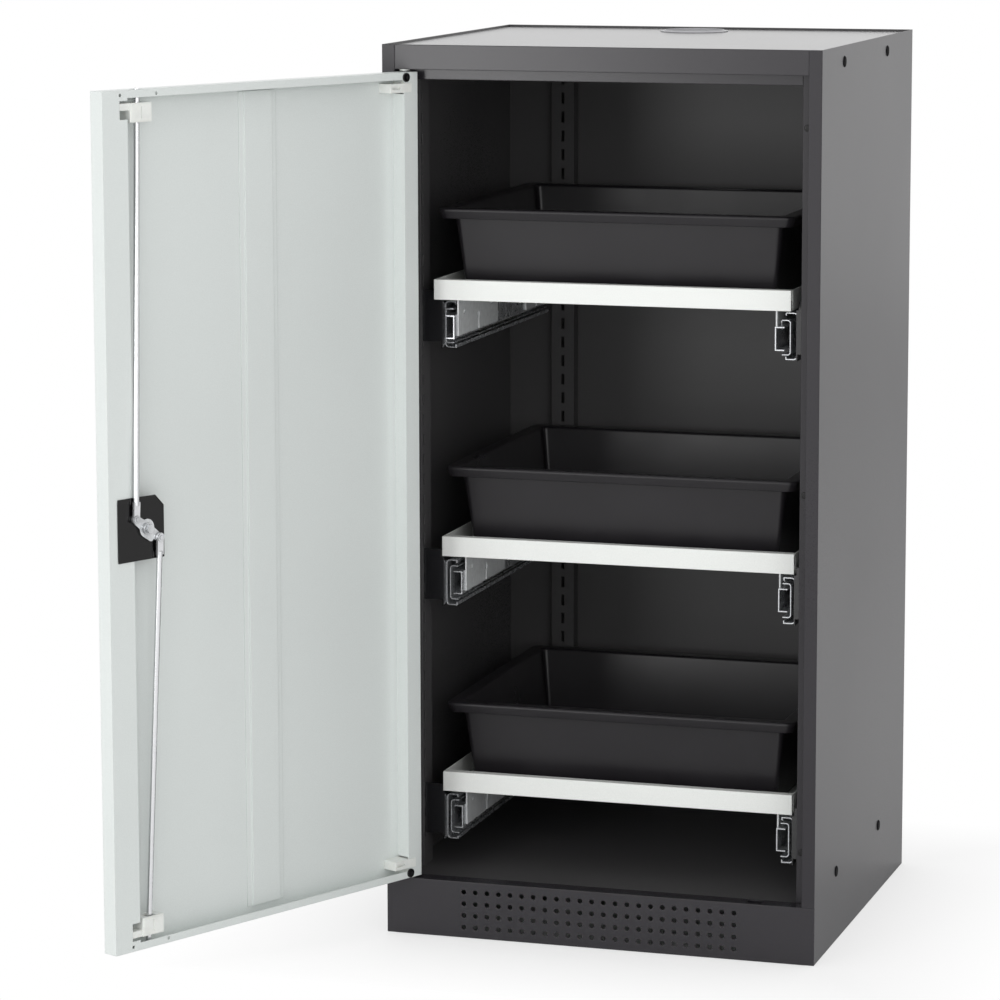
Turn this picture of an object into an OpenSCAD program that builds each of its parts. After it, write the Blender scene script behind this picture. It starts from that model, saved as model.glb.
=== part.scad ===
/* [Cabinet] */
// Outside width over the side panels
body_w = 545; // [500:5:600]
// Outside depth, front face to back flange
body_d = 520; // [480:5:560]
// Outside height
body_h = 1105; // [1080:5:1300]
// Thickness of the body sheet
sheet_t = 1.2; // [1:0.1:1.5]
// Drop of the top panel below the rim round it
top_drop = 2.5; // [2:0.5:8]
// Depth of the turned-down edges of the top and floor panels
pan_edge = 7; // [5:0.5:9]
// Width of the flange that each side panel folds behind the back panel
rear_flange = 15; // [10:1:25]

/* [Front frame] */
// Width of the front face of each jamb
jamb_w = 16; // [14:0.5:18]
// Depth of the front rebate that the door shuts into
rebate_d = 22.8; // [22:0.2:27]
// Width of the flange that the door stops against
stop_w = 12; // [10:0.5:14]
// Depth of the small fold behind the stop flange
stop_fold = 10; // [6:1:16]
// Height of the header face over the door
header_h = 30; // [26:1:40]
// Drop of the stop strip under the header
strip_drop = 13; // [10:0.5:16]
// Height of the plinth under the door
plinth_h = 71; // [66:1:90]
// Fold under the back edge of the plinth
plinth_fold = 12; // [8:1:16]

/* [Plinth grille] */
// Diameter of each hole
vent_d = 6; // [4:0.5:8]
// Distance between holes
vent_pitch = 15; // [12:0.5:18]
// Number of holes across
vent_cols = 24; // [16:1:28]
// Number of rows
vent_rows = 4; // [2:1:4]
// Height of the lowest row
vent_z = 13; // [10:1:20]

/* [Base] */
// Width of the base ring's flange under the panels
base_w = 12; // [10:1:14]
// Height of the base ring's upright leg
base_leg = 8; // [6:0.5:9]
// Steel of the base ring
base_t = 2; // [1.5:0.25:2.5]

/* [Exhaust collar] */
// Bore of the collar
exhaust_bore = 75; // [60:1:100]
// Wall of the collar
exhaust_wall = 1.2; // [1:0.1:2]
// Width of the ring that lies on the top panel
exhaust_ring = 5; // [3:0.5:8]
// Length of the collar below the top panel
exhaust_drop = 20; // [12:1:30]
// Distance of its centre in from the back of the cabinet
exhaust_in = 70; // [60:5:110]

/* [Door] */
// Angle that the door stands open at
door_open = 115.6; // [90:0.2:116]
// Thickness of the door over its folds
door_t = 20; // [18:0.5:22]
// Thickness of the door sheet
door_sheet = 1.2; // [1:0.1:1.5]
// Gap over the door, under the header
door_gap = 3; // [2:0.5:4]
// Gap between the door's edge and the jamb
edge_gap = 2.75; // [2:0.25:3]
// Pin axis in from the hinge edge of the door
pin_edge = 8; // [7.5:0.25:10]
// Pin axis back from the front face of the door
pin_back = 6.5; // [6.25:0.25:7]
// Diameter of the hinge pins
pin_d = 7; // [6:0.5:8]
// Length of each pin out of the door
pin_out = 12; // [9:1:16]
// Width of the fold along the free edge
free_fold = 38; // [25:1:39]
// Width of the boxed fold along the hinge edge
hinge_fold = 22.8; // [18:0.4:30]
// Width of the folds along the top and bottom edges
end_fold = 9; // [8:0.5:20]
// Width of the stiffener behind the door sheet
stiffener_w = 60; // [40:2:80]
// Height of the stiffener's raised face
stiffener_h = 3; // [2:0.5:6]
// Middle of the stiffener from the pin axis
stiffener_x = 243; // [200:5:300]

/* [Lock] */
// Height of the lock's spindle
lock_z = 570; // [500:5:700]
// Distance of the spindle from the free edge
lock_edge = 54; // [48:1:60]
// Radius of the cam's two pins
cam_r = 22; // [18:0.5:23]
// Angle of the cam's pins above level at rest
cam_angle = 35; // [30:1:40]
// Thickness of the cam plate
cam_t = 2.5; // [2:0.25:3.5]
// Diameter of the cam's pins
cam_pin_d = 5; // [4:0.5:6]
// Diameter of the lock rods
rod_d = 7; // [6:0.5:8]
// Gap between each rod's tip and the header or plinth
rod_gap = 1.5; // [1:0.25:2.5]
// Thickness of the flat eye that ends each rod
eye_t = 3; // [2:0.5:4]
// Length of the turning handle
lever_l = 92; // [70:2:110]
// Width of the lock case behind the door
lock_w = 70.5; // [64:0.5:76]
// Height of the lock case
lock_h = 74; // [66:1:90]
// Diameter of the spindle
spindle_d = 10; // [8:0.5:12]

/* [Uprights] */
// Distance between slots
slot_pitch = 25; // [20:1:32]
// Height of each slot
slot_h = 14; // [12:0.5:16]
// Width of each slot
slot_w = 4; // [3:0.5:5]
// Height of the lowest slot's middle
slot_first = 110; // [100:1:120]
// Width of the front uprights
front_post_w = 36; // [30:1:44]
// Depth of the front uprights off the side panel
front_post_d = 21.3; // [20:0.1:24]
// Back edge of the front upright from the front face
front_post_y = 113; // [105:1:120]
// Width of the rear uprights
rear_post_w = 31; // [26:1:36]
// Depth of the rear uprights off the back panel
rear_post_d = 20; // [16:1:24]
// Distance of the rear uprights from the middle
rear_post_x = 191.5; // [188:0.5:195]

/* [Drawers] */
// Slots that carry the three drawers, counted from the lowest slot
drawer_slots = [27, 14, 2];
// How far each drawer stands out at rest
drawer_rest = [28, 0, 0];
// Height of a drawer's front strip above its upper slot
strip_rise = 30; // [28:1:34]
// Width of the front strip and shelf
strip_w = 450; // [446:1:456]
// Height of the front strip
strip_h = 25; // [20:1:30]
// Thickness of the front strip's box
strip_d = 12; // [10:1:16]
// Distance of the strip behind the front face of the cabinet
strip_y = 80; // [70:1:84]
// Depth of the shelf
shelf_d = 403; // [380:1:406]

/* [Trays] */
// Height of the tray's rim above the front strip
tray_rise = 87; // [60:1:110]
// Wall of the tray
tray_wall = 3; // [2.5:0.25:4]
// Height of the rolled rim
rim_h = 13; // [10:0.5:18]
// Width of the rim outside the wall
rim_w = 16.5; // [12:0.5:18]
// Half the width that the tray loses from rim to floor
tray_taper = 13.5; // [8:0.5:16]
// Radius of the tray's upright corners
tray_r = 8; // [5:1:16]
// Radius of the rim's corners
rim_r = 12; // [8:1:24]
// How far the rim's skirt leans in at its lower edge
rim_lean = 3.5; // [0:0.5:5]
// Gap between the strip face and the tray's rim
tray_back = 10; // [6:1:16]
// Gap between the tray's rim and the shelf's back edge
tray_rear = 10; // [4:1:16]

/* [Slides] */
// Length of the slide rails
rail_l = 400; // [380:5:402]
// Half the height of the outer rail
rail_half = 29; // [26:0.5:32]
// Steel of the outer rail
rail_t = 1.6; // [1.4:0.1:1.8]
// Steel of the middle and inner rails
inner_t = 1.4; // [1.2:0.1:1.5]
// Distance of the slide's back from the middle of the cabinet
rail_x = 224; // [222:0.5:225]
// Drop of the slide's middle below the front strip's top
rail_drop = 60; // [56:1:64]
// Diameter of the balls
ball_d = 5.5; // [4.8:0.1:5.6]
// Number of balls in each row
ball_count = 7; // [5:1:7]
// Distance between balls
ball_pitch = 25; // [20:1:27]
// Steel of the ball cages
cage_t = 1; // [0.8:0.1:1.2]
// Steel of the brackets that carry the shelf
bracket_t = 2; // [1.5:0.25:2.5]
// Length of the front shelf bracket
bracket_l = 162; // [140:2:180]
// Length of the rear shelf bracket
rear_bracket_l = 90; // [60:2:120]

/* [Fits] */
// Radial running clearance of pins and balls
run_gap = 0.06; // [0.03:0.01:0.09]
// Clearance between fixed pieces that push together
push_gap = 0.02; // [0.01:0.01:0.05]
// Sideways play of the rods in their guides
rod_play = 2.5; // [2:0.25:3]

/* [Hidden] */
$fn = 48;
facets_small = 24;
over = 1; // how far a cut runs past the face that it opens
chamfer = 1;
side_x = body_w / 2;
inner_x = side_x - sheet_t;
front_y = -body_d / 2;
back_y = body_d / 2;
exhaust_y = back_y - exhaust_in;
panel_y = back_y - sheet_t;
jamb_x = side_x - jamb_w;
stop_y = front_y + rebate_d;
stop_x = jamb_x - stop_w;
top_z = body_h - top_drop;
header_z = body_h - header_h;
slab_z = top_z - sheet_t;
floor_drop = 5;
floor_z = plinth_h - floor_drop;
plug_rows = [19.5, body_h - 88.5];
plug_y = [-141, 105];
plug_hole = 12;
plug_head = 14;
plug_depth = 2;
plug_proud = 1.2;
foot_in = 40;
foot_d = 30;
foot_pad = 6;
foot_nut = 9;
stud_d = 10;
stud_end = 52;
foot_plate = 18; // half the width of a foot's bracket
foot_steel = 3;
foot_shelf = 30;
foot_wing = 55;

// The door is drawn shut, from its pin's axis: x to the free edge, y into the cabinet.
pin_x = -jamb_x + edge_gap + pin_edge;
pin_y = front_y + pin_back;
door_top = header_z - door_gap;
door_bottom = plinth_h + door_gap;
door_l = jamb_x - edge_gap - pin_x;
face_y = -pin_back;
skin_y = face_y + door_sheet;
fold_y = door_t - pin_back;
bush_gap = 0.2;
bush_d = 2 * (pin_back - sheet_t - bush_gap);
bush_collar_d = 2 * (pin_back - bush_gap);

// Lock: the cam's pins, the guides and the rods between them, in the door's own frame.
hub_x = door_l - lock_edge;
lock_hole = 22;
case_lid = 1.5;
case_y = fold_y + case_lid;
case_x = hub_x - 29;
cam_y = case_y + 0.3;
eye_y = cam_y + cam_t + 0.2;
rod_y = eye_y + eye_t / 2;
eye_d = 11;
clip_t = 0.8;
clip_y = eye_y + eye_t + 0.3;
plate_t = 3; // escutcheon
lever_gap = 0.4;
lever_t = 12;
lever_y = face_y - plate_t - lever_gap;
core_d = 14;
core_in = 2;
guide_w = 33;
guide_h = 22;
guide_x = hub_x - 4;
guide_y = 6;
guide_in = 26;
guide_lid = 1.2; // how far a guide stands out of the door's fold
foot_h = 8;
clip_gap = 0.5;
grommet_x = 12;
grommet_in = 6;
grommet_hole = 5;
block_h = 23;
block_x = 39;
block_tab = 3; // the hinge block fills a cut in the fold from here on
tab_end = 12;
notch_in = 26;
notch_h = 21;
notch_end = 12;
guide_top = door_top - guide_in;
guide_bottom = door_bottom + guide_in;
rod_slot = [rod_d + 2 * rod_play + 2, rod_d + 4];
exit_slot = [rod_slot[0] + 4, rod_slot[1] + 3];

post_front = front_y + front_post_y;
slot_in = 8;
slot_y = post_front - front_post_w + slot_in;
post_drop = 5; // the uprights end this far below the header
post_face_x = inner_x - front_post_d;
post_face_y = panel_y - sheet_t - rear_post_d;
top_margin = 21;
slot_count = floor((header_z - top_margin - slot_first) / slot_pitch) + 1;

drawer_count = len(drawer_slots);
strip_top = [for (s = drawer_slots) slot_first + s * slot_pitch + strip_rise];
shelf_front = front_y + strip_y;
shelf_back = shelf_front + shelf_d;
shelf_t = 1.2;
shelf_floor = shelf_t - strip_h;

// Slide section: u runs from the slide's back to the middle of the cabinet, v up and down.
ball_room = ball_d + 4 * run_gap;
mid_half = rail_half - rail_t - ball_room;
inner_half = mid_half - inner_t - ball_room;
web_gap = 1;
outer_reach = 15;
middle_reach = 11;
inner_reach = 11.4;
outer_cage_u = rail_t + web_gap;
mid_u = outer_cage_u + cage_t + web_gap + 0.4;
inner_cage_u = mid_u + inner_t + web_gap;
inner_u = inner_cage_u + cage_t + web_gap + 0.5;
plate_u = inner_u + inner_reach;
outer_ball_u = outer_cage_u + 6.4;
inner_ball_u = inner_cage_u + 5.1;
cage_end = 9;
cage_lip = ball_d / 2 + 1.2;
rail_in = 12; // the rails start this far behind the front strip
bracket_in = 12; // and the brackets start this far behind the rails' ends
rail_front = shelf_front + rail_in;
rail_back = rail_front + rail_l;
rail_hole = 5;
hole_start = 165;
hole_drop = 1;
hole_row = 8;
carrier_t = 2;
hook_h = slot_h - 4;
hook_l = 5;
shelf_gap = 2;
bracket_drop = 72;
bracket_flange = 16;
carrier_front = slot_y - carrier_t / 2;
carrier_x = rail_x + carrier_t;

// A box between two places along each axis.
module block(x, y, z) {
    translate([x[0], y[0], z[0]])
        cube([x[1] - x[0], y[1] - y[0], z[1] - z[0]]);
}

// A sheet of thickness t folded square along a path: the path is the sheet's middle line.
module folded(path, t) {
    for (i = [0 : len(path) - 2]) {
        low = [min(path[i].x, path[i + 1].x), min(path[i].y, path[i + 1].y)];
        high = [max(path[i].x, path[i + 1].x), max(path[i].y, path[i + 1].y)];
        translate(low - [t / 2, t / 2])
            square(high - low + [t, t]);
    }
}

// Extrudes a section from one height to another.
module upright(z) {
    translate([0, 0, z[0]])
        linear_extrude(z[1] - z[0])
            children();
}

// Extrudes a section drawn in Y and Z from one X to another.
module crosswise(x) {
    translate([x[0], 0, 0])
        rotate([90, 0, 90])
            linear_extrude(x[1] - x[0])
                children();
}

// The same thing at the right and mirrored at the left.
module pair() {
    children();
    mirror([1, 0, 0])
        children();
}

// The same thing at a top height, and upside down at a bottom height.
module at_ends(z) {
    for (k = [0, 1])
        translate([0, 0, z[k]])
            mirror([0, 0, k])
                children();
}

// An upright cylinder between two heights.
module post(d, z) {
    translate([0, 0, z[0]])
        cylinder(d = d, h = z[1] - z[0]);
}

// An upright cylinder with a chamfered top.
module pointed(d, z) {
    post(d, [z[0], z[1] - chamfer]);
    translate([0, 0, z[1] - chamfer])
        cylinder(d1 = d, d2 = d - 2 * chamfer, h = chamfer);
}

// A cylinder that runs along Y between two places.
module level(d, y) {
    translate([0, y[1], 0])
        rotate([90, 0, 0])
            cylinder(d = d, h = y[1] - y[0]);
}

/* ---- carcass ---- */

module side_panel() {
    c = sheet_t / 2;
    rebate = [[stop_x + c, stop_y + stop_fold], [stop_x + c, stop_y + c],
        [jamb_x + c, stop_y + c], [jamb_x + c, front_y + c]];
    color("#403f42")
        difference() {
            union() {
                upright([0, body_h])
                    folded([[side_x - c, front_y + sheet_t + c], [side_x - c, back_y - c],
                        [side_x - rear_flange, back_y - c]], sheet_t);
                upright([plinth_h, body_h])
                    folded([[jamb_x + c, front_y + c], [side_x - c, front_y + c]], sheet_t);
                upright([plinth_h, slab_z])
                    folded(rebate, sheet_t);
            }
            for (y = plug_y, z = plug_rows)
                translate([side_x, y, body_h - z])
                    rotate([0, 90, 0])
                        cylinder(d = plug_hole, h = 3 * sheet_t, center = true);
        }
}

module side_plugs() {
    color("#2e2d30")
        pair()
            for (y = plug_y, z = plug_rows)
                translate([side_x, y, body_h - z])
                    rotate([0, 90, 0]) {
                        cylinder(d1 = plug_head, d2 = plug_head - 2, h = plug_proud);
                        translate([0, 0, -sheet_t - plug_depth])
                            cylinder(d = plug_hole - 2 * push_gap, h = sheet_t + plug_depth);
                    }
}

module bush_bore(z) {
    translate([pin_x, pin_y, z])
        cylinder(d = bush_d + 2 * push_gap, h = 4 * sheet_t, center = true);
}

// The space that a rod moves in, cut through a guide, the door or the frame.
module rod_window(z, half_h, slot) {
    translate([guide_x - slot[0] / 2, guide_y - slot[1] / 2, z - half_h])
        cube([slot[0], slot[1], 2 * half_h]);
}

module rod_exit(z) {
    translate([pin_x, pin_y, 0])
        rod_window(z, 2 * sheet_t, exit_slot);
}

module header() {
    c = sheet_t / 2;
    color("#403f42")
        difference() {
            union() {
                crosswise([-jamb_x, jamb_x])
                    folded([[front_y + c, body_h - c], [front_y + c, header_z + c],
                        [stop_y - c, header_z + c]], sheet_t);
                crosswise([-stop_x, stop_x])
                    folded([[stop_y - c, header_z + c], [stop_y + c, header_z + c],
                        [stop_y + c, header_z - strip_drop + c]], sheet_t);
            }
            bush_bore(header_z);
            rod_exit(header_z);
        }
}

module plinth() {
    c = sheet_t / 2;
    first = -(vent_cols - 1) * vent_pitch / 2;
    color("#403f42")
        difference() {
            crosswise([-inner_x, inner_x])
                folded([[front_y + c, c], [front_y + c, plinth_h - c],
                    [stop_y - c, plinth_h - c], [stop_y - c, plinth_h - plinth_fold]], sheet_t);
            for (i = [0 : vent_cols - 1], k = [0 : vent_rows - 1])
                translate([first + i * vent_pitch, front_y + sheet_t / 2, vent_z + k * vent_pitch])
                    rotate([90, 0, 0])
                        cylinder(d = vent_d, h = 3 * sheet_t, center = true, $fn = facets_small);
            bush_bore(plinth_h);
            rod_exit(plinth_h);
        }
    color("#403f42")
        for (s = [-1, 1])
            block([min(s * inner_x, s * side_x), max(s * inner_x, s * side_x)],
                [front_y, front_y + sheet_t], [0, plinth_h]);
}

module floor_panel() {
    color("#3a393c")
        difference() {
            block([-inner_x, inner_x], [stop_y, panel_y - sheet_t], [floor_z - pan_edge, floor_z]);
            block([-inner_x + sheet_t, inner_x - sheet_t], [stop_y + sheet_t, panel_y - 2 * sheet_t],
                [floor_z - pan_edge - over, floor_z - sheet_t]);
        }
}

module back_panel() {
    color("#343336")
        block([-inner_x, inner_x], [panel_y - sheet_t, panel_y], [0, body_h]);
}

module top_panel() {
    edge = jamb_x - chamfer;
    color("#4a494c")
        difference() {
            union() {
                block([-inner_x, inner_x], [front_y + sheet_t, panel_y - sheet_t], [slab_z, top_z]);
                block([-edge, edge], [front_y + sheet_t, front_y + 2 * sheet_t], [slab_z - pan_edge, slab_z]);
                pair()
                    block([inner_x - sheet_t, inner_x], [stop_y + stop_fold, panel_y - sheet_t],
                        [slab_z - pan_edge, slab_z]);
            }
            translate([0, exhaust_y, top_z])
                cylinder(d = exhaust_bore + 2 * exhaust_wall + 2 * push_gap, h = 4 * sheet_t, center = true);
        }
}

module exhaust_collar() {
    tube_d = exhaust_bore + 2 * exhaust_wall;
    color("#b9bbbd")
        translate([0, exhaust_y, 0])
            difference() {
                union() {
                    post(tube_d, [top_z - exhaust_drop, body_h]);
                    post(tube_d + 2 * exhaust_ring, [top_z, top_z + sheet_t]);
                }
                post(exhaust_bore, [top_z - exhaust_drop - over, body_h + over]);
            }
}

module slots(x, y, size_x, size_y) {
    for (i = [0 : slot_count - 1])
        translate([x - size_x / 2, y - size_y / 2, slot_first + i * slot_pitch - slot_h / 2])
            cube([size_x, size_y, slot_h]);
}

module front_uprights() {
    c = sheet_t / 2;
    color("#353437")
        pair()
            difference() {
                upright([floor_z, header_z - post_drop])
                    folded([[inner_x - c, post_front - c], [post_face_x + c, post_front - c],
                        [post_face_x + c, post_front - front_post_w + c],
                        [inner_x - c, post_front - front_post_w + c]], sheet_t);
                slots(post_face_x, slot_y, 3 * sheet_t, slot_w);
            }
}

module rear_uprights() {
    c = sheet_t / 2;
    half = rear_post_w / 2;
    wall = panel_y - sheet_t;
    color("#353437")
        pair()
            difference() {
                upright([floor_z, header_z - post_drop])
                    folded([[rear_post_x - half + c, wall - c], [rear_post_x - half + c, post_face_y + c],
                        [rear_post_x + half - c, post_face_y + c], [rear_post_x + half - c, wall - c]],
                        sheet_t);
                slots(rear_post_x, post_face_y, slot_w, 3 * sheet_t);
            }
}

module hinge_bushes() {
    collar = 1.5;
    neck_end = sheet_t + 5;
    color("#f0f0ec")
        at_ends([header_z, plinth_h])
            translate([pin_x, pin_y, 0])
                difference() {
                    union() {
                        post(bush_d, [-collar, neck_end]);
                        post(bush_collar_d, [-collar, 0]);
                    }
                    post(pin_d + 2 * run_gap, [-collar - over, neck_end + over]);
                }
}

module door_buffers() {
    buffer_d = 8;
    buffer_t = 2.4;
    from_end = 60;
    color("#1d1d1f")
        for (z = [door_bottom + from_end, (door_top + door_bottom) / 2, door_top - from_end])
            translate([jamb_x - stop_w / 2, 0, z])
                level(buffer_d, [stop_y - buffer_t, stop_y]);
}

module base_frame() {
    x = inner_x;
    y = [front_y + sheet_t, panel_y - sheet_t];
    color("#3a393c")
        difference() {
            block([-x, x], y, [0, base_leg]);
            block([base_w - x, x - base_w], [y[0] + base_w, y[1] - base_w], [-over, base_leg + over]);
            block([base_t - x, x - base_t], [y[0] + base_t, y[1] - base_t], [base_t, base_leg + over]);
        }
}

module at_feet() {
    for (x = [-side_x + foot_in, side_x - foot_in], y = [front_y + foot_in, back_y - foot_in])
        translate([x, y, 0])
            children();
}

module foot_brackets() {
    half = foot_plate;
    level_z = [foot_shelf, foot_shelf + foot_steel];
    color("#3a393c")
        pair()
            for (y = [front_y + foot_in, back_y - foot_in])
                difference() {
                    union() {
                        block([side_x - foot_in - half, inner_x], [y - half, y + half], level_z);
                        block([inner_x - foot_steel, inner_x], [y - half, y + half],
                            [level_z[1], foot_wing]);
                    }
                    translate([side_x - foot_in, y, 0])
                        post(stud_d + 2 * run_gap, [level_z[0] - over, level_z[1] + over]);
                }
}

module levelling_feet() {
    color("#2a2a2c")
        at_feet() {
            post(foot_d, [0, foot_pad]);
            post(0.6 * foot_d, [foot_pad, foot_nut]);
            post(stud_d, [foot_nut, stud_end]);
        }
}

/* ---- door ---- */

module in_door() {
    translate([pin_x, pin_y, 0])
        rotate([0, 0, -door_open])
            children();
}

module door_pan() {
    c = door_sheet / 2;
    lip_end = 26;
    hole_d = 4;
    hole_end = 5.5;
    hole_x = [door_l - 82, door_l - 27];
    case_edge = 3;
    case_end = 12.5;
    through = [fold_y - 2 * door_sheet, fold_y + over];
    color("#cbd0cd")
        in_door()
            difference() {
                union() {
                    upright([door_bottom, door_top])
                        folded([[-pin_edge + c, fold_y - c], [-pin_edge + c, face_y + c],
                            [door_l - c, face_y + c], [door_l - c, fold_y - c]], door_sheet);
                    upright([door_bottom, door_top])
                        folded([[-pin_edge + c, fold_y - c], [hinge_fold - pin_edge - c, fold_y - c]],
                            door_sheet);
                    upright([door_bottom + lip_end, door_top - lip_end])
                        folded([[hinge_fold - pin_edge - c, fold_y - c],
                            [hinge_fold - pin_edge - c, skin_y + c]], door_sheet);
                    upright([door_bottom, door_top])
                        folded([[door_l - free_fold + c, fold_y - c], [door_l - c, fold_y - c]], door_sheet);
                    for (end = [[door_top, -1], [door_bottom, 1]]) {
                        edge = [end[0], end[0] + end[1] * door_sheet];
                        fold = [end[0], end[0] + end[1] * end_fold];
                        block([-pin_edge, door_l], [face_y, fold_y], [min(edge), max(edge)]);
                        block([-pin_edge, door_l], [fold_y - door_sheet, fold_y], [min(fold), max(fold)]);
                    }
                }
                for (z = [door_top, door_bottom]) {
                    post(pin_d + 2 * push_gap, [z - 3 * door_sheet, z + 3 * door_sheet]);
                    rod_window(z, 3 * door_sheet, rod_slot);
                }
                for (z = [door_top - notch_end - notch_h, door_bottom + notch_end])
                    block([door_l - free_fold - over, door_l - notch_in], through, [z, z + notch_h]);
                at_ends([door_top, door_bottom])
                    block([block_tab, hinge_fold - pin_edge + over], through,
                        [-block_h - door_sheet - push_gap, push_gap - tab_end - door_sheet]);
                for (z = [door_top - hole_end, door_bottom + hole_end], x = hole_x)
                    translate([x, 0, z])
                        level(hole_d, through);
                for (z = [door_top - grommet_in, door_bottom + grommet_in])
                    translate([grommet_x, 0, z])
                        level(grommet_hole, through);
                translate([hub_x, 0, lock_z])
                    level(lock_hole, [face_y - over, skin_y + over]);
                block([case_x, door_l - case_end + push_gap], through,
                    [lock_z - lock_h / 2 + case_edge, lock_z + lock_h / 2 - case_edge]);
            }
}

module door_stiffener() {
    c = door_sheet / 2;
    low = skin_y + c;
    high = low + stiffener_h - door_sheet;
    half = stiffener_w / 2;
    foot = 8;
    end_gap = 2;
    color("#c6cbc8")
        in_door()
            upright([door_bottom + end_fold + end_gap, door_top - end_fold - end_gap])
                folded([[stiffener_x - half + c, low], [stiffener_x - half + foot, low],
                    [stiffener_x - half + foot, high], [stiffener_x + half - foot, high],
                    [stiffener_x + half - foot, low], [stiffener_x + half - c, low]], door_sheet);
}

module hinge_blocks() {
    under = fold_y - door_sheet;
    step = 1;
    slit = [14, 3, 3];
    color("#eceeea")
        in_door()
            at_ends([door_top - door_sheet, door_bottom + door_sheet])
                difference() {
                    union() {
                        block([-pin_edge + door_sheet, hinge_fold - pin_edge], [skin_y, under],
                            [-block_h, 0]);
                        block([block_tab + push_gap, hinge_fold - pin_edge], [under, fold_y + step],
                            [-block_h, -tab_end]);
                        block([hinge_fold - pin_edge, block_x], [skin_y, fold_y + step],
                            [-block_h, -tab_end]);
                    }
                    post(pin_d + 2 * push_gap, [-block_h - over, over]);
                    translate([block_x - slit.x - 3, fold_y + step - slit.y, -tab_end - 4 - slit.z])
                        cube(slit + [0, over, 0]);
                }
}

module hinge_pins() {
    inside = block_h + door_sheet;
    head_t = 2;
    color("#b9bcc0")
        in_door()
            at_ends([door_top, door_bottom]) {
                pointed(pin_d, [-inside, pin_out]);
                post(pin_d + 3, [-inside - head_t, -inside]);
            }
}

module door_grommets() {
    head_d = 11;
    head_t = 1.6;
    dimple_d = 4;
    dimple_t = 1;
    color("#1d1d1f")
        in_door()
            for (z = [door_top - grommet_in, door_bottom + grommet_in])
                translate([grommet_x, 0, z]) {
                    difference() {
                        level(head_d, [fold_y, fold_y + head_t]);
                        level(dimple_d, [fold_y + head_t - dimple_t, fold_y + head_t + over]);
                    }
                    level(grommet_hole - 2 * push_gap, [fold_y - door_sheet, fold_y]);
                }
}

// A guide: a body that stands beside the door's fold, a lid on it, and a foot that clips under the
// edge of the notch in the fold. side is 1 at the top of the door and -1 at its bottom.
module rod_guide(z, side) {
    half = [guide_w / 2, guide_h / 2];
    lid_in = 1.5;
    groove = [1.2, 0.8, 14];
    foot_z = z + side * (half.y - foot_h / 2);
    color("#eceeea")
        in_door()
            difference() {
                union() {
                    translate([guide_x, 0, z]) {
                        block([-half.x, half.x], [skin_y, fold_y], [-half.y, half.y]);
                        block([lid_in - half.x, half.x - lid_in], [fold_y, fold_y + guide_lid],
                            [lid_in - half.y, half.y - lid_in]);
                    }
                    block([guide_x, door_l - notch_in - clip_gap],
                        [skin_y + clip_gap, fold_y - door_sheet - clip_gap],
                        [foot_z - foot_h / 2, foot_z + foot_h / 2]);
                }
                rod_window(z, guide_h, rod_slot);
                translate([guide_x - groove.x / 2, fold_y + guide_lid - groove.y, z - groove.z / 2])
                    cube(groove + [0, over, 0]);
            }
}

module rod_guide_top() {
    rod_guide(guide_top, 1);
}

module rod_guide_bottom() {
    rod_guide(guide_bottom, -1);
}

module case_outline(w, h, cut) {
    polygon([[case_x, -h / 2], [case_x + w, -h / 2], [case_x + w, h / 2], [case_x + cut, h / 2],
        [case_x, h / 2 - cut]]);
}

// A lid over the door's fold, a box under it down to the door's sheet, and a boss for the spindle.
module lock_case() {
    wall = 1.5;
    cut = 13;
    boss_d = 24;
    box_w = door_l - free_fold - 0.5 - case_x;
    box_h = lock_h - 8;
    box_cut = cut - 2;
    color("#1f1f21")
        in_door()
            translate([0, 0, lock_z])
                difference() {
                    union() {
                        translate([0, case_y, 0])
                            rotate([90, 0, 0])
                                linear_extrude(case_y - fold_y)
                                    case_outline(lock_w, lock_h, cut);
                        translate([0, fold_y, 0])
                            rotate([90, 0, 0])
                                linear_extrude(fold_y - skin_y)
                                    difference() {
                                        case_outline(box_w, box_h, box_cut);
                                        translate([wall, 0])
                                            case_outline(box_w - 2 * wall, box_h - 2 * wall, box_cut - wall / 2);
                                    }
                        translate([hub_x, 0, 0])
                            level(boss_d, [skin_y, fold_y]);
                    }
                    translate([hub_x, 0, 0])
                        level(spindle_d + 2 * run_gap, [skin_y - over, case_y + over]);
                }
}

module lock_escutcheon() {
    plate_w = 34;
    plate_half = 22;
    color("#2a2a2c")
        in_door()
            translate([hub_x, 0, lock_z])
                difference() {
                    union() {
                        hull()
                            for (z = [-plate_half, plate_half])
                                translate([0, 0, z])
                                    level(plate_w, [face_y - plate_t, face_y]);
                        level(lock_hole - 2 * push_gap, [face_y, skin_y]);
                    }
                    level(spindle_d + 2 * run_gap, [face_y - plate_t - over, skin_y + over]);
                }
}

// The turning handle: a round boss, a grip that rises away from the door, and the spindle.
module lock_lever() {
    boss_d = 28;
    grip_d = [20, 13];
    grip_y = [lever_y - 4, lever_y - 10];
    rise = 6;
    end = lever_l - 16;
    color("#2a2a2c")
        in_door()
            translate([hub_x, 0, lock_z])
                rotate([0, 90 - cam_angle, 0])
                    difference() {
                        union() {
                            level(boss_d, [lever_y - lever_t, lever_y]);
                            hull() {
                                level(grip_d[0], [lever_y - lever_t, grip_y[0]]);
                                translate([0, 0, -end])
                                    level(grip_d[1], [lever_y - lever_t - rise, grip_y[1]]);
                            }
                            level(spindle_d, [lever_y, cam_y]);
                        }
                        level(core_d + 2 * push_gap, [lever_y - lever_t - over, lever_y - core_in]);
                    }
}

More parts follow.
